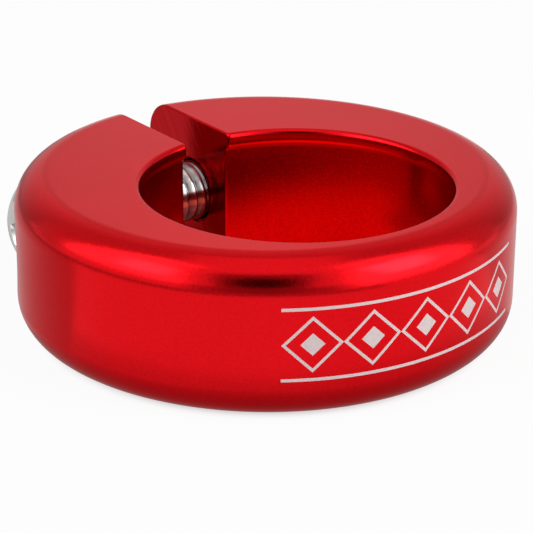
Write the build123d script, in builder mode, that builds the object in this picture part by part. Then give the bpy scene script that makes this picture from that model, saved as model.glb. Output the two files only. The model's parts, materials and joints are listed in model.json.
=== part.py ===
import os

from build123d import *

os.makedirs("parts", exist_ok=True)

# Seat tube end that the ring goes over
tube_dia = 28.6

# Ring, off centre on the bore: thin opposite the slit, thick where the screw passes
thin_wall = 3.5
thick_wall = 12.7
ring_height = 14.35
rim_fillet = 3.2
least_land = 0.1  # flat kept beside a rounded rim

# Lip that rests on the end of the tube, with a 45 degree underside
lip_reach = 0.55
lip_face = 0.55
lip_chamfer = 0.45  # on the lip's top edge

# Sawn slit
slit_width = 4.7
slit_break = 0.2

# Clamp screw with a domed head and a hex socket
thread_dia = 6.0
screw_length = 25.0
tip_chamfer = 0.7
head_dia = 10.5
head_height = 3.3
head_rim = 0.46  # straight edge under the dome
head_flat_dia = 5.8
dome_radius = 5.6
hex_size = 4.0  # across the flats
socket_depth = 2.0
socket_point = 0.6  # cone left by the drill under the hexagon

# Seats of the screw in the ring
screw_web = 2.17  # metal between the bore and the screw's hole
screw_drop = 0.2  # screw axis below mid height
seat_wall = 10.6  # metal under the head, from its pocket to the slit
pocket_clearance = 0.35
hole_clearance = 0.3  # around the screw on the head's side
thread_clearance = 0.03  # around the screw in the threaded hole
mouth_chamfer = 0.3

# Places worked out from the sizes above
tube_r = tube_dia / 2
lip_r = tube_r - lip_reach
lip_underside = ring_height - lip_chamfer - lip_face - lip_reach
ring_r = (tube_dia + thin_wall + thick_wall) / 2
ring_offset = (thick_wall - thin_wall) / 2
rim_r = min(rim_fillet, thin_wall - least_land)
thread_r = thread_dia / 2
hole_r = thread_r + hole_clearance
screw_y = tube_r + screw_web + hole_r
screw_z = ring_height / 2 - screw_drop
seat_x = -(slit_width / 2 + seat_wall)
pocket_r = head_dia / 2 + pocket_clearance

# Plane across the screw, in the middle of the slit, with its normal out of the head
screw_plane = Plane(origin=(0, screw_y, screw_z), x_dir=(0, 1, 0), z_dir=(-1, 0, 0))
seat_plane = screw_plane.offset(-seat_x)
# Half section of the screw: x is the radius and y points out of the head
screw_section = Plane(origin=seat_plane.origin, x_dir=(0, 0, 1), z_dir=(0, -1, 0))

# Ring with its stepped bore, slit and screw holes
with BuildPart() as clamp_ring:
    with BuildSketch():
        with Locations((0, ring_offset)):
            Circle(ring_r)
    extrude(amount=ring_height)
    fillet(clamp_ring.edges().filter_by(GeomType.CIRCLE), radius=rim_r)

    # The slit is cut and its edges broken before the bore opens the ring
    with BuildSketch():
        Rectangle(slit_width, tube_r + thick_wall, align=(Align.CENTER, Align.MIN))
    extrude(amount=ring_height, mode=Mode.SUBTRACT)
    slit_edges = clamp_ring.faces().filter_by(Axis.X).edges().sort_by(Axis.Y)
    chamfer(slit_edges[2:], length=slit_break)

    with BuildSketch(Plane.XZ):
        with BuildLine():
            Polyline(
                (0, 0),
                (tube_r, 0),
                (tube_r, lip_underside),
                (lip_r, lip_underside + lip_reach),
                (lip_r, ring_height - lip_chamfer),
                (lip_r + lip_chamfer, ring_height),
                (0, ring_height),
                close=True,
            )
        make_face()
    revolve(axis=Axis.Z, mode=Mode.SUBTRACT)
    # Upright edges of the slit at the bore, under the lip
    slit_uprights = clamp_ring.edges().filter_by(Axis.Z).filter_by_position(Axis.X, -slit_width, slit_width)
    chamfer(slit_uprights.group_by(Axis.Y)[1], length=slit_break)

    with Locations(screw_plane.offset(ring_r)):
        CounterBoreHole(hole_r, pocket_r, ring_r + seat_x, depth=ring_r)
    with Locations(screw_plane):
        Hole(thread_r, depth=ring_r)
    round_edges = clamp_ring.edges().filter_by(GeomType.CIRCLE)
    mouth = round_edges.filter_by_position(Axis.X, slit_width / 4, slit_width).sort_by(Axis.Y)[-1]
    chamfer(mouth, length=mouth_chamfer)

# Screw: its thread is a plain cylinder at the crests
with BuildPart() as clamp_screw:
    shank_r = thread_r - thread_clearance
    with BuildSketch(screw_section):
        with BuildLine():
            dome = RadiusArc((head_flat_dia / 2, head_height), (head_dia / 2, head_rim), dome_radius)
            Polyline(
                dome @ 1,
                (head_dia / 2, 0),
                (shank_r, 0),
                (shank_r, tip_chamfer - screw_length),
                (shank_r - tip_chamfer, -screw_length),
                (0, -screw_length),
                (0, head_height),
                dome @ 0,
            )
        make_face()
    revolve(axis=Axis(seat_plane.origin, seat_plane.z_dir))

    with BuildSketch(seat_plane.offset(head_height)):
        RegularPolygon(hex_size / 2, 6, major_radius=False)
    extrude(amount=-socket_depth, mode=Mode.SUBTRACT)
    with BuildSketch(screw_section):
        with BuildLine():
            Polyline(
                (0, head_height - socket_depth),
                (hex_size / 2, head_height - socket_depth),
                (0, head_height - socket_depth - socket_point),
                close=True,
            )
        make_face()
    revolve(axis=Axis(seat_plane.origin, seat_plane.z_dir), mode=Mode.SUBTRACT)

clamp_ring.part.label = "clamp_ring"
export_step(clamp_ring.part, "parts/clamp_ring.step")
clamp_screw.part.label = "clamp_screw"
export_step(clamp_screw.part, "parts/clamp_screw.step")
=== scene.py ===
import json
import math

import bmesh
import bpy
from mathutils import Matrix, Quaternion, Vector


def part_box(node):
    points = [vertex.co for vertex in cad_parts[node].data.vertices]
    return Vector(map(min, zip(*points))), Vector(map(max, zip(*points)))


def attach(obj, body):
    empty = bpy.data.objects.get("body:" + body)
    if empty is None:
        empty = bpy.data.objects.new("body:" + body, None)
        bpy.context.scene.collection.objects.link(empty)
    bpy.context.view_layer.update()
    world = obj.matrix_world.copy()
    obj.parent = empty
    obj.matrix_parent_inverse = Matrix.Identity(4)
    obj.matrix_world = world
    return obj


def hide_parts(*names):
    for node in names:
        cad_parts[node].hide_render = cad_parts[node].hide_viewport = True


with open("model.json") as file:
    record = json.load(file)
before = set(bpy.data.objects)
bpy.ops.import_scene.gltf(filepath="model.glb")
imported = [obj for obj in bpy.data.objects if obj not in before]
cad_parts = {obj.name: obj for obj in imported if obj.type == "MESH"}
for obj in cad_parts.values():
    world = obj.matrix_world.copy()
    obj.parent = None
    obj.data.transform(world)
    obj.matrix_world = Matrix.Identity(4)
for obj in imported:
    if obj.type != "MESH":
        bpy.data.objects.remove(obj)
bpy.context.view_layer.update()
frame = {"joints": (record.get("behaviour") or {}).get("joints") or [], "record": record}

scene = bpy.context.scene
scene.view_settings.view_transform = 'Standard'

# Meshes are modelled in millimetres and brought down to metres when they are done
toMetres = 0.001
mounts = {mount["name"]: mount for mount in frame["record"]["mounts"]}
ringLow, ringHigh = (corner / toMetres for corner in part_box("clamp_ring"))
ringRadius = (ringHigh.x - ringLow.x) / 2
ringCentre = ringLow.y + ringRadius  # the outside is off the bore's axis, along y
ringHeight = ringHigh.z - ringLow.z
tubeRadius = mounts["seat_tube_bore"]["dims"]["r_mm"]
lipRadius = mounts["seatpost_hole"]["dims"]["r_mm"]
screwSeat = Vector(frame["joints"][0]["pos_m"]) / toMetres  # on the screw's axis, under its head
screwTip = (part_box("clamp_screw")[1] / toMetres).x

sharpAngle = math.radians(40)
mergeDistance = 0.0005
levelTolerance = 0.001
flatNormal = 0.9999  # a face whose normal rises this much is level


def linkPiece(name, bm, materials=()):
    mesh = bpy.data.meshes.new(name)
    bm.to_mesh(mesh)
    bm.free()
    for material in materials:
        mesh.materials.append(material)
    piece = bpy.data.objects.new(name, mesh)
    scene.collection.objects.link(piece)
    return piece


def cutWith(piece, tool, operation):
    cut = piece.modifiers.new("cut", 'BOOLEAN')
    cut.object = tool
    cut.operation = operation
    cut.solver = 'EXACT'
    seen = bpy.context.evaluated_depsgraph_get()
    done = bpy.data.meshes.new_from_object(piece.evaluated_get(seen))
    piece.modifiers.clear()
    piece.data = done
    bpy.data.objects.remove(tool)


def finishPiece(piece, body, node):
    piece.data.transform(Matrix.Scale(toMetres, 4))
    piece.data.shade_smooth()
    piece.data.set_sharp_from_angle(angle=sharpAngle)
    weighted = piece.modifiers.new("flat faces stay flat", 'WEIGHTED_NORMAL')
    weighted.keep_sharp = True
    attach(piece, body)
    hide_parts(node)
    print(piece.name, len(piece.data.polygons), "faces")


def chain(bm, points):
    verts = [bm.verts.new(point) for point in points]
    edges = [bm.edges.new(pair) for pair in zip(verts, verts[1:])]
    return verts + edges


def arcPoints(centre, radius, start, end, steps):
    angles = [math.radians(start + (end - start) * i / steps) for i in range(steps + 1)]
    return [(centre[0] + radius * math.cos(a), centre[1] + radius * math.sin(a)) for a in angles]


# Turned shape about the screw's axis: the outline is (place along x, radius), from pole to pole
def lathe(name, outline, steps):
    bm = bmesh.new()
    line = chain(bm, [(x, screwSeat.y + radius, screwSeat.z) for x, radius in outline])
    bmesh.ops.spin(
        bm, geom=line, cent=screwSeat, axis=(1, 0, 0), angle=math.tau, steps=steps, use_merge=True,
    )
    bmesh.ops.remove_doubles(bm, verts=bm.verts[:], dist=mergeDistance)
    bmesh.ops.recalc_face_normals(bm, faces=bm.faces[:])
    return linkPiece(name, bm)


thread = {
    "pitch": 1.0,
    "crest": 2.9,
    "landFrom": 0.05,  # where a tooth's long side starts, in its pitch
    "landRound": 2.7,
    "landSlopes": (26, 10),  # degrees: the long side, worn to a low crown, leans towards the head
    "landSteps": 6,
    "crestRound": 0.05,
    "crestSteps": 4,
    "flank": 55,  # slope of the short side
    "stepsPerTurn": 72,
    "spareTurns": 2,  # past each end, before the rod is cut to length
    "seam": 0.001,  # corners of neighbouring turns nearer than this are joined
    "cutTolerance": 0.0001,
    "phase": 0.0,  # degrees that the helix is turned about the screw
}


# One tooth as (place in its pitch, height): a long worn side, a small round crest and a short steep side
def toothPoints():
    first, last = (90 + slope for slope in thread["landSlopes"])
    landStart, landEnd = math.radians(first), math.radians(last)
    radius, tip = thread["landRound"], thread["crestRound"]
    middle = (thread["landFrom"] - radius * math.cos(landStart), -radius * math.sin(landStart))
    points = arcPoints(middle, radius, first, last, thread["landSteps"])
    crown = (points[-1][0] - tip * math.cos(landEnd), points[-1][1] - tip * math.sin(landEnd))
    points += arcPoints(crown, tip, last, 90 - thread["flank"], thread["crestSteps"])[1:]
    place, height = points[-1]
    points.append((place + height / math.tan(math.radians(thread["flank"])), 0))
    return [(0, 0), *points, (thread["pitch"], 0)]


tooth = toothPoints()
threadDepth = max(height for place, height in tooth)


# Closed threaded rod between two places on the screw's axis: one turn is spun and then repeated
def threadedRod(name, start, end, crest):
    pitch, steps, spare = thread["pitch"], thread["stepsPerTurn"], thread["spareTurns"]
    root = crest - threadDepth
    bm = bmesh.new()
    line = chain(bm, [
        (start - spare * pitch + place, screwSeat.y + root + height, screwSeat.z) for place, height in tooth
    ])
    rise = (pitch / steps, 0, 0)
    bmesh.ops.spin(
        bm, geom=line, cent=screwSeat, axis=(1, 0, 0), dvec=rise, angle=math.tau, steps=steps,
    )
    turn = bm.verts[:] + bm.edges[:] + bm.faces[:]
    for i in range(1, math.ceil((end - start) / pitch) + spare + 1):
        copied = bmesh.ops.duplicate(bm, geom=turn)["geom"]
        moved = [item for item in copied if isinstance(item, bmesh.types.BMVert)]
        bmesh.ops.translate(bm, verts=moved, vec=(i * pitch, 0, 0))
    bmesh.ops.remove_doubles(bm, verts=bm.verts[:], dist=thread["seam"])
    phase = Matrix.Rotation(math.radians(thread["phase"]), 3, 'X')
    bmesh.ops.rotate(bm, verts=bm.verts[:], cent=screwSeat, matrix=phase)
    for place, away in ((start, -1), (end, 1)):
        bmesh.ops.bisect_plane(
            bm, geom=bm.verts[:] + bm.edges[:] + bm.faces[:], dist=thread["cutTolerance"],
            plane_co=(place, 0, 0), plane_no=(away, 0, 0), clear_outer=True,
        )
    bmesh.ops.edgeloop_fill(bm, edges=[edge for edge in bm.edges if edge.is_boundary])
    bmesh.ops.recalc_face_normals(bm, faces=bm.faces[:])
    return linkPiece(name, bm)


# Node tools shared by the materials
def newMaterial(name):
    material = bpy.data.materials.new(name)
    material.use_nodes = True
    return material, material.node_tree


def addNode(tree, kind, **settings):
    node = tree.nodes.new(kind)
    for key, value in settings.items():
        setattr(node, key, value)
    return node


def mathNode(tree, operation, *values):
    node = addNode(tree, "ShaderNodeMath", operation=operation)
    for socket, value in zip(node.inputs, values):
        if isinstance(value, (int, float)):
            socket.default_value = value
        else:
            tree.links.new(value, socket)
    return node.outputs[0]


def mixColour(tree, share, *colours):
    mix = addNode(tree, "ShaderNodeMix", data_type='RGBA')
    tree.links.new(share, mix.inputs["Factor"])
    for socket, colour in zip((mix.inputs["A"], mix.inputs["B"]), colours):
        if isinstance(colour, tuple):
            socket.default_value = (*colour, 1)
        else:
            tree.links.new(colour, socket)
    return mix.outputs["Result"]


# Takes a value from its limits to the levels given, and holds it at their ends
def mapRange(tree, value, limits, levels, kind='LINEAR'):
    ranged = addNode(tree, "ShaderNodeMapRange", interpolation_type=kind)
    for name, limit in zip(("From Min", "From Max", "To Min", "To Max"), (*limits, *levels)):
        ranged.inputs[name].default_value = limit
    tree.links.new(value, ranged.inputs["Value"])
    return ranged.outputs["Result"]


# Object coordinates, scaled and then moved
def objectPlace(tree, scale=(1, 1, 1), location=(0, 0, 0)):
    place = addNode(tree, "ShaderNodeTexCoord")
    mapped = addNode(tree, "ShaderNodeMapping", vector_type='POINT')
    mapped.inputs["Location"].default_value = location
    mapped.inputs["Scale"].default_value = scale
    tree.links.new(place.outputs["Object"], mapped.inputs["Vector"])
    return mapped.outputs["Vector"]


# Distance from a place, counted along the axes given
def distanceFrom(tree, centre, axes=(1, 1, 1)):
    offset = [-at * axis for at, axis in zip(centre, axes)]
    away = addNode(tree, "ShaderNodeVectorMath", operation='LENGTH')
    tree.links.new(objectPlace(tree, axes, offset), away.inputs[0])
    return away.outputs["Value"]


# A value that goes smoothly from one level to another with the distance from a place
def fadeFrom(tree, centre, distances, levels, axes=(1, 1, 1)):
    return mapRange(tree, distanceFrom(tree, centre, axes), distances, levels, 'SMOOTHSTEP')


# A value that a noise from 0 to 1 spreads about its middle
def spreadAbout(tree, noise, middle, spread):
    return mathNode(tree, 'MULTIPLY_ADD', noise, spread, middle - spread / 2)


grainNoise = {"grainDetail": 3, "grainRoughness": 0.6, "patchDetail": 4}


# Fine blasted grain, on Object coordinates: a height for bump and a slow change of tone
def makeGrainGroup():
    group = bpy.data.node_groups.new("satinGrain", "ShaderNodeTree")
    sockets = {"Grain Scale": 'INPUT', "Patch Scale": 'INPUT', "Height": 'OUTPUT', "Tone": 'OUTPUT'}
    for name, side in sockets.items():
        group.interface.new_socket(name, in_out=side, socket_type='NodeSocketFloat')
    ends = addNode(group, "NodeGroupInput")
    out = addNode(group, "NodeGroupOutput")
    place = addNode(group, "ShaderNodeTexCoord")
    grain = addNode(group, "ShaderNodeTexNoise")
    grain.inputs["Detail"].default_value = grainNoise["grainDetail"]
    grain.inputs["Roughness"].default_value = grainNoise["grainRoughness"]
    patch = addNode(group, "ShaderNodeTexNoise")
    patch.inputs["Detail"].default_value = grainNoise["patchDetail"]
    for noise, scale, result in ((grain, "Grain Scale", "Height"), (patch, "Patch Scale", "Tone")):
        group.links.new(place.outputs["Object"], noise.inputs["Vector"])
        group.links.new(ends.outputs[scale], noise.inputs["Scale"])
        group.links.new(noise.outputs["Fac"], out.inputs[result])
    return group


grainGroup = makeGrainGroup()


# The grain at a finish's own scales, as its height and its tone
def addGrain(tree, finish):
    grain = addNode(tree, "ShaderNodeGroup", node_tree=grainGroup)
    grain.inputs["Grain Scale"].default_value = finish["grainScale"]
    grain.inputs["Patch Scale"].default_value = finish["patchScale"]
    return grain.outputs["Height"], grain.outputs["Tone"]


def addBump(tree, height, strength, distance):
    bump = addNode(tree, "ShaderNodeBump")
    bump.inputs["Strength"].default_value = strength
    bump.inputs["Distance"].default_value = distance
    tree.links.new(height, bump.inputs["Height"])
    return bump.outputs["Normal"]


etching = {
    "lozenges": 5,
    "lozengeWidth": 5.2,
    "lozengeHeight": 5.0,
    "outline": 0.14,  # share of a lozenge from its middle to its edge
    "core": 0.4,
    "stripeGap": 0.5,
    "stripe": 0.28,
    "middleHeight": 7.2,
    "wallDepth": 0.5,  # keeps the mark off the bore
}


# Pale mark on the outside of the wall, opposite the slit: a row of lozenges between two stripes
def addEtching(tree):
    perMillimetre = (1 / toMetres, 1 / toMetres, 1 / toMetres)
    parts = addNode(tree, "ShaderNodeSeparateXYZ")
    centred = objectPlace(tree, perMillimetre, (0, -ringCentre, -etching["middleHeight"]))
    tree.links.new(centred, parts.inputs["Vector"])
    frontward = mathNode(tree, 'MULTIPLY', parts.outputs["Y"], -1)
    angle = mathNode(tree, 'ARCTAN2', parts.outputs["X"], frontward)
    along = mathNode(tree, 'MULTIPLY', angle, ringRadius / etching["lozengeWidth"])
    across = mathNode(tree, 'ABSOLUTE', parts.outputs["Z"])

    # From 0 in the middle of a lozenge to 1 at its edge
    sideways = mathNode(tree, 'MULTIPLY', mathNode(tree, 'PINGPONG', along, 0.5), 2)
    upright = mathNode(tree, 'DIVIDE', across, etching["lozengeHeight"] / 2)
    reach = mathNode(tree, 'ADD', sideways, upright)
    outline = mathNode(tree, 'COMPARE', reach, 1 - etching["outline"] / 2, etching["outline"] / 2)
    core = mathNode(tree, 'LESS_THAN', reach, etching["core"])
    stripeAt = etching["lozengeHeight"] / 2 + etching["stripeGap"] + etching["stripe"] / 2
    stripes = mathNode(tree, 'COMPARE', across, stripeAt, etching["stripe"] / 2)
    mark = mathNode(tree, 'MAXIMUM', mathNode(tree, 'MAXIMUM', outline, core), stripes)

    inRow = mathNode(tree, 'LESS_THAN', mathNode(tree, 'ABSOLUTE', along), etching["lozenges"] / 2)
    outward = distanceFrom(tree, (0, ringCentre * toMetres, 0), (1, 1, 0))
    onWall = mathNode(tree, 'GREATER_THAN', outward, (ringRadius - etching["wallDepth"]) * toMetres)
    return mathNode(tree, 'MULTIPLY', mark, mathNode(tree, 'MULTIPLY', inRow, onWall))


anodised = {
    "deep": (0.66, 0.0049, 0.0083),
    "bright": (0.75, 0.0063, 0.0107),
    "boreWallShadeDeep": (0.44, 0.0025, 0.0042),  # painted shade on the bore's wall, below the lip
    "boreWallShadeBright": (0.64, 0.0035, 0.0058),
    "boreWallShadeTop": (12.6, 13.0),  # heights between which the painted shade on the bore's wall ends
    "boreWallShadeEdge": (0.02, 0.06),  # and how far behind the bore's wall
    "etched": (0.66, 0.56, 0.56),
    "etchedRoughness": 0.3,  # on top of the rest
    "etchedMetal": 0.4,
    "edgeTint": (1, 0.74, 0.75),
    "roughness": 0.19,
    "roughnessSpread": 0.1,
    "grainScale": 4800,
    "patchScale": 120,
    "grainStrength": 0.3,
    "grainDepth": 0.00002,
    "speckle": 2.6,  # how much the grain shows in the colour
}


def makeAnodised():
    material, tree = newMaterial("redAnodised")
    shader = tree.nodes["Principled BSDF"]
    grain, tone = addGrain(tree, anodised)
    mark = addEtching(tree)
    share = mathNode(tree, 'ADD', tone, spreadAbout(tree, grain, 0, anodised["speckle"]))
    dyed = mixColour(tree, share, anodised["deep"], anodised["bright"])
    # Painted shade: below the lip, the bore's wall takes darker copies of the red
    boreWallShaded = mixColour(tree, share, anodised["boreWallShadeDeep"], anodised["boreWallShadeBright"])
    boreWallShadeEdge = [(tubeRadius + reach) * toMetres for reach in anodised["boreWallShadeEdge"]]
    boreWallShadeTop = [height * toMetres for height in anodised["boreWallShadeTop"]]
    inBore = fadeFrom(tree, (0, 0, 0), boreWallShadeEdge, (1, 0), (1, 1, 0))
    underLip = fadeFrom(tree, (0, 0, 0), boreWallShadeTop, (1, 0), (0, 0, 1))
    colour = mixColour(tree, mathNode(tree, 'MULTIPLY', inBore, underLip), dyed, boreWallShaded)
    tree.links.new(mixColour(tree, mark, colour, anodised["etched"]), shader.inputs["Base Color"])

    satin = spreadAbout(tree, grain, anodised["roughness"], anodised["roughnessSpread"])
    rough = mathNode(tree, 'MULTIPLY_ADD', mark, anodised["etchedRoughness"], satin)
    tree.links.new(rough, shader.inputs["Roughness"])
    metal = mathNode(tree, 'MULTIPLY_ADD', mark, anodised["etchedMetal"] - 1, 1)
    tree.links.new(metal, shader.inputs["Metallic"])
    normal = addBump(tree, grain, anodised["grainStrength"], anodised["grainDepth"])
    tree.links.new(normal, shader.inputs["Normal"])
    shader.inputs["Specular Tint"].default_value = (*anodised["edgeTint"], 1)
    return material


sawn = {
    "deep": (0.42, 0.0025, 0.0045),
    "bright": (0.66, 0.0060, 0.0110),
    "roughness": 0.13,
    "roughnessSpread": 0.08,
    "sawCentre": (0, 0.062, -0.016),
    "lineScale": 1500,
    "lineDetail": 4,
    "lineRoughness": 0.65,
    "lineStrength": 0.6,
    "lineDepth": 0.00003,
    "grainScale": 2500,
    "patchScale": 160,
    "grainShare": 0.4,  # how much the grain adds to the lines
}


# Sawn faces of the slit: curved marks about the place where the saw's axis was
def makeSawn():
    material, tree = newMaterial("redSawn")
    shader = tree.nodes["Principled BSDF"]
    arcs = addNode(tree, "ShaderNodeTexNoise", noise_dimensions='1D')
    arcs.inputs["Scale"].default_value = sawn["lineScale"]
    arcs.inputs["Detail"].default_value = sawn["lineDetail"]
    arcs.inputs["Roughness"].default_value = sawn["lineRoughness"]
    tree.links.new(distanceFrom(tree, sawn["sawCentre"]), arcs.inputs["W"])
    grain, tone = addGrain(tree, sawn)
    height = mathNode(tree, 'MULTIPLY_ADD', grain, sawn["grainShare"], arcs.outputs["Fac"])
    tree.links.new(mixColour(tree, height, sawn["deep"], sawn["bright"]), shader.inputs["Base Color"])
    rough = spreadAbout(tree, tone, sawn["roughness"], sawn["roughnessSpread"])
    tree.links.new(rough, shader.inputs["Roughness"])
    normal = addBump(tree, height, sawn["lineStrength"], sawn["lineDepth"])
    tree.links.new(normal, shader.inputs["Normal"])
    shader.inputs["Metallic"].default_value = 1
    shader.inputs["Specular Tint"].default_value = (*anodised["edgeTint"], 1)
    return material


steel = {
    # the painted shade in the thread's roots
    "root": (0.06, 0.055, 0.05),
    "crest": (0.58, 0.54, 0.53),
    "head": (0.82, 0.81, 0.8),
    "rootShare": 0.25,  # of the crest's colour that is left in the roots, under the painted shade
    "crestGain": 1.2,  # how fast it grows towards the crests
    "roughness": 0.17,
    "roughnessSpread": 0.16,
    "grainScale": 4000,
    "patchScale": 700,
    "grainStrength": 0.08,
    "grainDepth": 0.00002,
    "smearScale": (2600, 800, 800),  # dirt drawn out along the turns
    "smearDetail": 3,
    "smearFrom": (0.35, 0.65),
    "smear": (0.45, 1.35),
}


# Bright steel, with painted shade in the thread's roots and dirt smeared along its turns
def makeSteel():
    material, tree = newMaterial("screwSteel")
    shader = tree.nodes["Principled BSDF"]
    reach = distanceFrom(tree, screwSeat * toMetres, (0, 1, 1))
    threadSpan = [radius * toMetres for radius in (thread["crest"] - threadDepth, thread["crest"])]
    height = mapRange(tree, reach, threadSpan, (0, 1))
    grain, tone = addGrain(tree, steel)
    smears = addNode(tree, "ShaderNodeTexNoise")
    smears.inputs["Scale"].default_value = 1
    smears.inputs["Detail"].default_value = steel["smearDetail"]
    tree.links.new(objectPlace(tree, steel["smearScale"]), smears.inputs["Vector"])
    smear = mapRange(tree, smears.outputs["Fac"], steel["smearFrom"], steel["smear"])
    # Painted shade towards the thread's roots, with random patches and the smeared dirt on top
    unshadedAndClean = mathNode(tree, 'MULTIPLY', mathNode(tree, 'MULTIPLY', height, tone), smear)
    share = mathNode(tree, 'MULTIPLY_ADD', unshadedAndClean, steel["crestGain"], steel["rootShare"])
    turned = mixColour(tree, share, steel["root"], steel["crest"])

    parts = addNode(tree, "ShaderNodeSeparateXYZ")
    tree.links.new(objectPlace(tree), parts.inputs["Vector"])
    onHead = mathNode(tree, 'LESS_THAN', parts.outputs["X"], screwSeat.x * toMetres)
    tree.links.new(mixColour(tree, onHead, turned, steel["head"]), shader.inputs["Base Color"])
    rough = spreadAbout(tree, tone, steel["roughness"], steel["roughnessSpread"])
    tree.links.new(rough, shader.inputs["Roughness"])
    normal = addBump(tree, grain, steel["grainStrength"], steel["grainDepth"])
    tree.links.new(normal, shader.inputs["Normal"])
    shader.inputs["Metallic"].default_value = 1
    return material


ring = {
    "rimRound": 3.2,
    "rimSteps": 14,
    "lipRound": 0.45,
    "lipSteps": 6,
    "lipFace": 0.55,
    "lipUnderRound": 0.6,
    "lipUnderSteps": 4,
    "outsideColumns": 180,  # counts that leave no edge beside the slit's faces
    "boreColumns": 160,
    "slit": 4.7,
    "edgeBreak": 0.2,
    "edgeSegments": 3,
    "sawnSlot": 1,  # place of the sawn finish among the ring's materials
    "pocketRadius": 5.6,
    "pocketColumns": 128,
    "holeRadius": 3.3,
    "threadRadius": 3.0,
    "threadColumns": 96,
    "mouthBreak": 0.3,
    "threadFrom": 0.4,  # past the screw's end, where the hole's thread starts to show
    "threadEnd": 14.2,  # from here the hole is plain, out to the wall
    "tapOverlap": (0.2, 0.1),  # of the tap with the plain holes before and after it
    "tapClearance": 0.01,
}


# The outside and the bore are turned about their own axes and joined by the flat faces
def turnRing(materials):
    rim, lip, under = ring["rimRound"], ring["lipRound"], ring["lipUnderRound"]
    lipBottom = ringHeight - lip - ring["lipFace"]
    outside = arcPoints((ringRadius - rim, rim), rim, -90, 0, ring["rimSteps"])
    outside += arcPoints((ringRadius - rim, ringHeight - rim), rim, 0, 90, ring["rimSteps"])
    inside = arcPoints((lipRadius + lip, ringHeight - lip), lip, 90, 180, ring["lipSteps"])
    inside += arcPoints((lipRadius + under, lipBottom), under, 180, 225, ring["lipUnderSteps"])
    slope = tubeRadius - inside[-1][0]  # the lip's underside leans at 45 degrees
    inside += [(tubeRadius, inside[-1][1] - slope), (tubeRadius, 0)]
    bm = bmesh.new()
    turned = ((ringCentre, outside, ring["outsideColumns"]), (0, inside, ring["boreColumns"]))
    for centre, points, columns in turned:
        line = chain(bm, [(0, centre - radius, height) for radius, height in points])
        bmesh.ops.spin(
            bm, geom=line, cent=(0, centre, 0), axis=(0, 0, 1), angle=math.tau, steps=columns, use_merge=True,
        )
    for level in (0, ringHeight):
        rims = [
            edge for edge in bm.edges
            if edge.is_boundary and abs(edge.verts[0].co.z - level) < levelTolerance
        ]
        bmesh.ops.bridge_loops(bm, edges=rims)
    bmesh.ops.recalc_face_normals(bm, faces=bm.faces[:])
    return linkPiece("ring_turned", bm, materials)


def sawSlit(piece, materials):
    bm = bmesh.new()
    bmesh.ops.create_cube(bm, size=1)
    bmesh.ops.scale(bm, verts=bm.verts[:], vec=(ring["slit"], 2 * ringRadius, 2 * ringHeight))
    bmesh.ops.translate(bm, verts=bm.verts[:], vec=(0, ringRadius, ringHeight / 2))
    for face in bm.faces:
        face.material_index = ring["sawnSlot"]
    cutWith(piece, linkPiece("saw", bm, materials), 'DIFFERENCE')

    # The flat faces become one face each, so that the slit's edges can be rounded
    bm = bmesh.new()
    bm.from_mesh(piece.data)
    level = [edge for edge in bm.edges if all(abs(face.normal.z) > flatNormal for face in edge.link_faces)]
    bmesh.ops.dissolve_edges(bm, edges=level, use_verts=True)
    sawnEdges = [
        edge for edge in bm.edges
        if any(face.material_index == ring["sawnSlot"] for face in edge.link_faces)
    ]
    print("slit edges to round:", len(sawnEdges))
    bmesh.ops.bevel(
        bm, geom=sawnEdges, offset=ring["edgeBreak"], offset_type='OFFSET', affect='EDGES',
        segments=ring["edgeSegments"], profile=0.5, material=-1,
    )
    bm.to_mesh(piece.data)
    bm.free()


# Pocket and clearance hole on the head's side, threaded hole on the other
def drillRing(piece):
    far = 2 * ringRadius  # well outside the ring
    pocket, hole = ring["pocketRadius"], ring["holeRadius"]
    headSide = lathe("headSide", [
        (-far, 0), (-far, pocket), (screwSeat.x, pocket), (screwSeat.x, hole), (0, hole), (0, 0),
    ], ring["pocketColumns"])
    cutWith(piece, headSide, 'DIFFERENCE')

    radius, mouthBreak = ring["threadRadius"], ring["mouthBreak"]
    slitSide = ring["slit"] / 2
    mouth = radius + mouthBreak
    threadFrom, threadEnd = screwTip + ring["threadFrom"], ring["threadEnd"]
    tapSide = lathe("tapSide", [
        (0, 0), (0, mouth), (slitSide, mouth), (slitSide + mouthBreak, radius),
        (threadFrom, radius), (threadFrom, 0),
    ], ring["threadColumns"])
    cutWith(piece, tapSide, 'DIFFERENCE')
    before, after = ring["tapOverlap"]
    tap = threadedRod("tap", threadFrom - before, threadEnd + after, radius - ring["tapClearance"])
    cutWith(piece, tap, 'DIFFERENCE')
    wayOut = lathe("wayOut", [
        (threadEnd, 0), (threadEnd, radius - threadDepth), (threadEnd + threadDepth, radius),
        (far, radius), (far, 0),
    ], ring["threadColumns"])
    cutWith(piece, wayOut, 'DIFFERENCE')


def makeRing(materials):
    piece = turnRing(materials)
    sawSlit(piece, materials)
    drillRing(piece)
    finishPiece(piece, "ring", "clamp_ring")


screw = {
    "headRadius": 5.25,
    "headHeight": 3.3,
    "headRim": 0.46,  # straight edge under the dome
    "headColumns": 128,
    "flatRadius": 2.9,
    "domeRadius": 5.6,
    "domeSteps": 14,
    "seatBreak": 0.1,
    "hexSize": 4.0,
    "socketDepth": 2.0,
    "socketRoom": 1.0,  # how far the hexagon that cuts it stands out of the head
    "socketPoint": 0.6,
    "pointOverlap": 0.01,
    "pointColumns": 48,
    "leadDepth": 0.05,  # of the cone that breaks the socket's edge, at the hexagon's corners
    "leadReach": 1.05,
    "leadColumns": 64,
    "neck": 1.6,
    "neckSlope": 0.8,
    "neckRelief": 0.02,  # below the thread's roots
    "tipBreak": 0.7,
    "shankColumns": 96,
    "rodSpare": 0.3,  # thread that is cut off again at both ends
    "shankInHead": 0.2,
    "crestRoom": 0.2,
}


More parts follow.
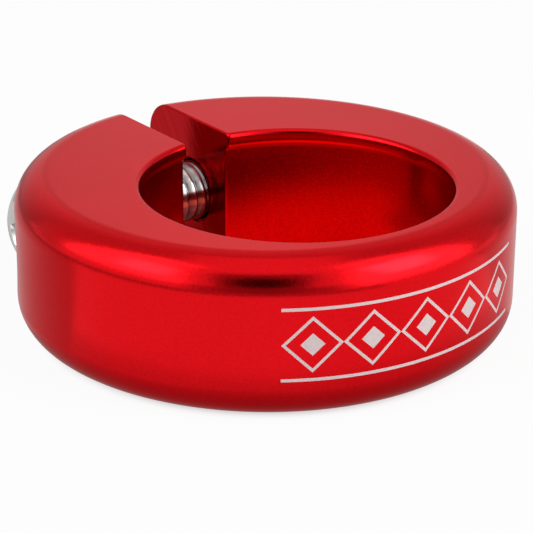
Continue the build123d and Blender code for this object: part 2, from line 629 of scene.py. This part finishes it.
# A threaded rod, cut to a neck under the head and a broken edge at the tip
def makeShank():
    seat, crest, spare = screwSeat.x, thread["crest"], screw["rodSpare"]
    start, neckEnd = seat - screw["shankInHead"], seat + screw["neck"]
    neckRadius = crest - threadDepth - screw["neckRelief"]
    room, tipBreak = screw["crestRoom"], screw["tipBreak"]
    shank = threadedRod("screw_threaded", seat - spare, screwTip + spare, crest)
    envelope = lathe("envelope", [
        (start, 0), (start, neckRadius), (neckEnd, neckRadius),
        (neckEnd + screw["neckSlope"], crest + room), (screwTip - tipBreak - room, crest + room),
        (screwTip, crest - tipBreak), (screwTip, 0),
    ], screw["shankColumns"])
    cutWith(shank, envelope, 'INTERSECT')
    return shank


# The dome as (height, radius): an arc from the flat round the socket to the head's straight edge
def domePoints():
    start = Vector((screw["headHeight"], screw["flatRadius"]))
    end = Vector((screw["headRim"], screw["headRadius"]))
    chord = end - start
    inward = Vector((-chord.y, chord.x)).normalized()
    centre = (start + end) / 2 + inward * math.sqrt(screw["domeRadius"] ** 2 - (chord.length / 2) ** 2)
    first, last = (math.degrees(math.atan2(at.y - centre.y, at.x - centre.x)) for at in (start, end))
    return arcPoints(centre, screw["domeRadius"], first, last, screw["domeSteps"])


def makeHead():
    seat, radius, seatBreak = screwSeat.x, screw["headRadius"], screw["seatBreak"]
    top = seat - screw["headHeight"]
    outline = [(top, 0)]
    outline += [(seat - height, reach) for height, reach in domePoints()]
    outline += [(seat - seatBreak, radius), (seat, radius - seatBreak), (seat, 0)]
    head = lathe("head", outline, screw["headColumns"])

    # Hex socket with a drilled point and a broken edge
    corner = screw["hexSize"] / math.sqrt(3)
    floor = top + screw["socketDepth"]
    bm = bmesh.new()
    bmesh.ops.create_circle(bm, cap_ends=True, segments=6, radius=corner)
    raised = bmesh.ops.extrude_face_region(bm, geom=bm.faces[:])["geom"]
    lifted = [item for item in raised if isinstance(item, bmesh.types.BMVert)]
    bmesh.ops.translate(bm, verts=lifted, vec=(0, 0, screw["socketDepth"] + screw["socketRoom"]))
    towardsHead = Matrix.Rotation(-math.pi / 2, 3, 'Y')
    bmesh.ops.rotate(bm, verts=bm.verts[:], cent=(0, 0, 0), matrix=towardsHead)
    bmesh.ops.translate(bm, verts=bm.verts[:], vec=(floor, screwSeat.y, screwSeat.z))
    bmesh.ops.recalc_face_normals(bm, faces=bm.faces[:])
    cutWith(head, linkPiece("hexagon", bm), 'DIFFERENCE')
    drilled = floor - screw["pointOverlap"]
    point = lathe("point", [
        (drilled, 0), (drilled, screw["hexSize"] / 2), (floor + screw["socketPoint"], 0),
    ], screw["pointColumns"])
    cutWith(head, point, 'DIFFERENCE')
    leadAt, reach = top + screw["leadDepth"], screw["leadReach"]
    lead = lathe("lead", [
        (leadAt - reach, 0), (leadAt - reach, corner + reach),
        (leadAt + reach, corner - reach), (leadAt + reach, 0),
    ], screw["leadColumns"])
    cutWith(head, lead, 'DIFFERENCE')
    return head


def makeScrew(material):
    piece = makeShank()
    cutWith(piece, makeHead(), 'UNION')
    piece.data.materials.append(material)
    finishPiece(piece, "screw", "clamp_screw")


makeRing([makeAnodised(), makeSawn()])
makeScrew(makeSteel())
print("pieces made")

view = {
    "target": (-0.00210, 0.00159, 0.00627),
    "azimuth": -36.66,
    "elevation": 22.89,
    "roll": 0.353,
    "distance": 0.1943,
    "lens": 147.73,
    "sensor": 36,
    "clip": (0.01, 20),
}


def makeCamera():
    camera = bpy.data.cameras.new("camera")
    camera.lens = view["lens"]
    camera.sensor_width = view["sensor"]
    camera.clip_start, camera.clip_end = view["clip"]
    holder = bpy.data.objects.new("camera", camera)
    scene.collection.objects.link(holder)
    azimuth, elevation = math.radians(view["azimuth"]), math.radians(view["elevation"])
    back = Vector((
        math.sin(azimuth) * math.cos(elevation),
        -math.cos(azimuth) * math.cos(elevation),
        math.sin(elevation),
    ))
    holder.location = Vector(view["target"]) + back * view["distance"]
    level = (-back).to_track_quat('-Z', 'Y')
    holder.rotation_mode = 'QUATERNION'
    holder.rotation_quaternion = level @ Quaternion((0, 0, 1), math.radians(view["roll"]))
    scene.camera = holder


studio = {
    "floorSize": 6.0,
    "floorColour": (0.76, 0.76, 0.76),
    "floorRoughness": 0.9,
    "floorWhite": 0.94,  # share of the floor that is plain white, away from the ring
    "borePaintedLight": 0.65,  # and a painted pool of light in the middle of the bore, which fades out before the bore's wall so that the ring's shadow stays there
    "whiteFrom": (17.8, 21.5),  # radii between which the white starts, outside
    "borePaintedLightFade": (4.0, 13.5),  # radii between which the painted pool of light ends, in the bore
    "worldFill": 0.15,
}
studioAim = Vector((0, ringCentre, ringHeight / 2)) * toMetres


# Bearing is in degrees to the right of the view, and height in degrees above the floor
def studioPlace(bearing, height, distance):
    azimuth, bearing, height = (math.radians(value) for value in (view["azimuth"], bearing, height))
    ahead = Vector((-math.sin(azimuth), math.cos(azimuth), 0))
    right = Vector((math.cos(azimuth), math.sin(azimuth), 0))
    level = ahead * math.cos(bearing) + right * math.sin(bearing)
    return studioAim + (level * math.cos(height) + Vector((0, 0, math.sin(height)))) * distance


def spanAt(distance, degrees):
    return 2 * distance * math.tan(math.radians(degrees) / 2)


def seenDirectly(tree):
    path = addNode(tree, "ShaderNodeLightPath")
    either = mathNode(tree, 'MAXIMUM', path.outputs["Is Camera Ray"], path.outputs["Is Glossy Ray"])
    return mathNode(tree, 'MAXIMUM', either, path.outputs["Is Transmission Ray"])


def makeFloor():
    bm = bmesh.new()
    bmesh.ops.create_grid(bm, x_segments=1, y_segments=1, size=studio["floorSize"] / 2)
    bmesh.ops.translate(bm, verts=bm.verts[:], vec=(0, 0, ringLow.z * toMetres))
    material, tree = newMaterial("paleFloor")
    shader = tree.nodes["Principled BSDF"]
    shader.inputs["Base Color"].default_value = (*studio["floorColour"], 1)
    shader.inputs["Roughness"].default_value = studio["floorRoughness"]
    shader.inputs["Specular IOR Level"].default_value = 0
    white = addNode(tree, "ShaderNodeEmission")
    mix = addNode(tree, "ShaderNodeMixShader")
    outward = [radius * toMetres for radius in studio["whiteFrom"]]
    inward = [radius * toMetres for radius in studio["borePaintedLightFade"]]
    outer = fadeFrom(tree, (0, ringCentre * toMetres, 0), outward, (0, studio["floorWhite"]))
    # Painted light: a pool of white glow on the floor in the middle of the bore
    borePaintedLightShare = fadeFrom(tree, (0, 0, 0), inward, (studio["borePaintedLight"], 0))
    level = mathNode(tree, 'MAXIMUM', outer, borePaintedLightShare)
    tree.links.new(mathNode(tree, 'MULTIPLY', seenDirectly(tree), level), mix.inputs["Fac"])
    tree.links.new(shader.outputs["BSDF"], mix.inputs[1])
    tree.links.new(white.outputs["Emission"], mix.inputs[2])
    tree.links.new(mix.outputs["Shader"], tree.nodes["Material Output"].inputs["Surface"])
    linkPiece("floor", bm, [material])


def makeWorld():
    world = bpy.data.worlds.new("whiteRoom")
    scene.world = world
    world.use_nodes = True
    tree = world.node_tree
    background = tree.nodes["Background"]
    background.inputs["Color"].default_value = (1, 1, 1, 1)
    fill = studio["worldFill"]
    strength = mathNode(tree, 'MULTIPLY_ADD', seenDirectly(tree), 1 - fill, fill)
    tree.links.new(strength, background.inputs["Strength"])


# Soft lamps: where they stand, how wide and high they look from the ring, and how bright their faces are
lamps = {
    "leftBox": {"bearing": -113, "height": 38, "away": 0.55, "wide": 62, "high": 51, "glow": 1.6},
    "leftCore": {"bearing": -122, "height": 36, "away": 0.5, "wide": 22, "high": 24, "glow": 3},
    "rightBox": {"bearing": 110, "height": 32, "away": 0.55, "wide": 62, "high": 60, "glow": 1.6},
    "rightCore": {"bearing": 112, "height": 33, "away": 0.5, "wide": 24, "high": 28, "glow": 5},
}


def makeLamps():
    for name, spec in lamps.items():
        lamp = bpy.data.lights.new(name, 'AREA')
        lamp.shape = 'RECTANGLE'
        lamp.size, lamp.size_y = (spanAt(spec["away"], spec[side]) for side in ("wide", "high"))
        lamp.energy = spec["glow"] * math.pi * lamp.size * lamp.size_y
        holder = bpy.data.objects.new(name, lamp)
        holder.location = studioPlace(spec["bearing"], spec["height"], spec["away"])
        holder.rotation_euler = (studioAim - holder.location).to_track_quat('-Z', 'Y').to_euler()
        scene.collection.objects.link(holder)


# Cards that only reflections see: grey in the middle, or over a core, and grey at the edge
cards = {
    "cameraCard": {
        "bearing": 181, "height": 28, "away": 0.25, "wide": 38, "high": 47,
        "core": 0.45, "greys": (0, 0.3),
    },
    "tripodCard": {"bearing": 180, "height": 4, "away": 0.27, "wide": 64, "high": 20, "greys": (0.2, 0.5)},
    "frontCard": {"bearing": 180, "height": 28, "away": 0.3, "wide": 68, "high": 78, "greys": (0.6, 1.0)},
    "rearGlow": {"bearing": 0, "height": 28, "away": 0.48, "wide": 30, "high": 30, "greys": (1.0, 0.64)},
    "rearCard": {"bearing": 0, "height": 34, "away": 0.5, "wide": 118, "high": 76, "greys": (0.8, 0.37)},
    "leftCard": {"bearing": -70, "height": 34, "away": 0.5, "wide": 24, "high": 76, "greys": (0.58, 0.62)},
    "rightCard": {"bearing": 69, "height": 34, "away": 0.5, "wide": 24, "high": 76, "greys": (0.6, 0.6)},
}

# Low grey bands that only reflections see, standing round the table from one bearing to another: painted
# shade along the horizon
bandRadius = 0.085
bandSteps = 48
lowBands = {
    "frontBand": {"height": 0.008, "bearings": (-70, -225), "grey": 0.4},
    "leftBand": {"height": 0.0115, "bearings": (-20, -70), "grey": 0.36},
    "rightBand": {"height": 0.0115, "bearings": (70, 24), "grey": 0.48},
}

# Shades that lie on the table: a ring round the foot, a disc in the bore and rectangles behind and beside
shadeLift = {"round": 0.00005, "beside": 0.000075, "behind": 0.0001}  # so that no two share a plane
footShade = {"radii": (0.0192, 0.031), "greys": (0.32, 0.75), "steps": 96}
boreShade = {
    "radius": 0.0142,
    "middle": (-0.0014, 0.0048),  # of the light that comes down through the bore
    "fade": (0.005, 0.018),
    "greys": (1.1, 0.1),
    "tint": (1, 0.12, 0.08),
    "steps": 64,
}
behindShades = {
    "slitShade": {"across": (-0.0023, 0.0023), "along": (0.0143, 0.03), "grey": 0.3, "tint": (1, 0.2, 0.18)},
    "screwShade": {
        "across": (-0.003, 0.004), "along": (0.0085, 0.0143), "grey": 0.45, "tint": (1, 0.17, 0.16),
    },
    "backShadeLeft": {"across": (-0.06, 0), "along": (0.03, 0.1), "grey": 0.6},
    "backShadeRight": {"across": (0, 0.06), "along": (0.03, 0.1), "grey": 0.36},
}
besideShades = {  # turned with the view, about the ring's middle
    "leftShade": {"across": (-0.1, -0.0225), "along": (-0.014, 0.09), "grey": 0.58},
    "rightShade": {"across": (0.0225, 0.1), "along": (0, 0.09), "grey": 0.7},
}
plainTint = (1, 1, 1)


def finishCard(card, centre, fade, greys, tint=plainTint):
    material, tree = newMaterial(card.name)
    glow = addNode(tree, "ShaderNodeEmission")
    glow.inputs["Color"].default_value = (*tint, 1)
    tree.links.new(fadeFrom(tree, centre, fade, greys), glow.inputs["Strength"])
    tree.links.new(glow.outputs["Emission"], tree.nodes["Material Output"].inputs["Surface"])
    card.data.materials.append(material)
    card.visible_camera = False
    card.visible_diffuse = False
    card.visible_shadow = False


def plainCard(card, grey, tint=plainTint):
    finishCard(card, studioAim, (0, 1), (grey, grey), tint)


def flatCard(name, wide, high, turn, centre):
    bm = bmesh.new()
    bmesh.ops.create_grid(bm, x_segments=1, y_segments=1, size=0.5)
    bmesh.ops.scale(bm, verts=bm.verts[:], vec=(wide, high, 1))
    bmesh.ops.rotate(bm, verts=bm.verts[:], cent=(0, 0, 0), matrix=turn)
    bmesh.ops.translate(bm, verts=bm.verts[:], vec=centre)
    return linkPiece(name, bm)


def makeCards():
    for name, spec in cards.items():
        centre = studioPlace(spec["bearing"], spec["height"], spec["away"])
        wide, high = (spanAt(spec["away"], spec[side]) for side in ("wide", "high"))
        facing = (studioAim - centre).to_track_quat('Z', 'Y').to_matrix()
        fade = (spec.get("core", 0) * wide / 2, wide / 2)
        finishCard(flatCard(name, wide, high, facing, centre), centre, fade, spec["greys"])

    for name, spec in lowBands.items():
        bm = bmesh.new()
        first, last = spec["bearings"]
        foot = studioPlace(first, 0, bandRadius)
        foot.z = ringLow.z * toMetres
        line = chain(bm, [foot, foot + Vector((0, 0, spec["height"]))])
        sweep = math.radians(first - last)
        bmesh.ops.spin(bm, geom=line, cent=studioAim, axis=(0, 0, 1), angle=sweep, steps=bandSteps)
        plainCard(linkPiece(name, bm), spec["grey"])


def makeTableShades():
    lift = shadeLift["round"]
    bm = bmesh.new()
    line = chain(bm, [(0, radius + studioAim.y, lift) for radius in footShade["radii"]])
    bmesh.ops.spin(
        bm, geom=line, cent=studioAim, axis=(0, 0, 1), angle=math.tau,
        steps=footShade["steps"], use_merge=True,
    )
    centre = (0, studioAim.y, lift)
    finishCard(linkPiece("footShade", bm), centre, footShade["radii"], footShade["greys"])

    bm = bmesh.new()
    bmesh.ops.create_circle(bm, cap_ends=True, segments=boreShade["steps"], radius=boreShade["radius"])
    bmesh.ops.translate(bm, verts=bm.verts[:], vec=(0, 0, lift))
    centre = (*boreShade["middle"], lift)
    finishCard(linkPiece("boreShade", bm), centre, boreShade["fade"], boreShade["greys"], boreShade["tint"])

    withView = Matrix.Rotation(math.radians(view["azimuth"]), 3, 'Z')
    fromBore = Vector((0, 0, shadeLift["behind"]))
    fromRing = Vector((0, studioAim.y, shadeLift["beside"]))
    layouts = ((behindShades, Matrix.Identity(3), fromBore), (besideShades, withView, fromRing))
    for shades, turn, origin in layouts:
        for name, spec in shades.items():
            (left, right), (near, far) = spec["across"], spec["along"]
            centre = origin + turn @ Vector(((left + right) / 2, (near + far) / 2, 0))
            card = flatCard(name, right - left, far - near, turn, centre)
            plainCard(card, spec["grey"], spec.get("tint", plainTint))


makeCamera()
makeFloor()
makeWorld()
makeLamps()
makeCards()
makeTableShades()
print("studio made")
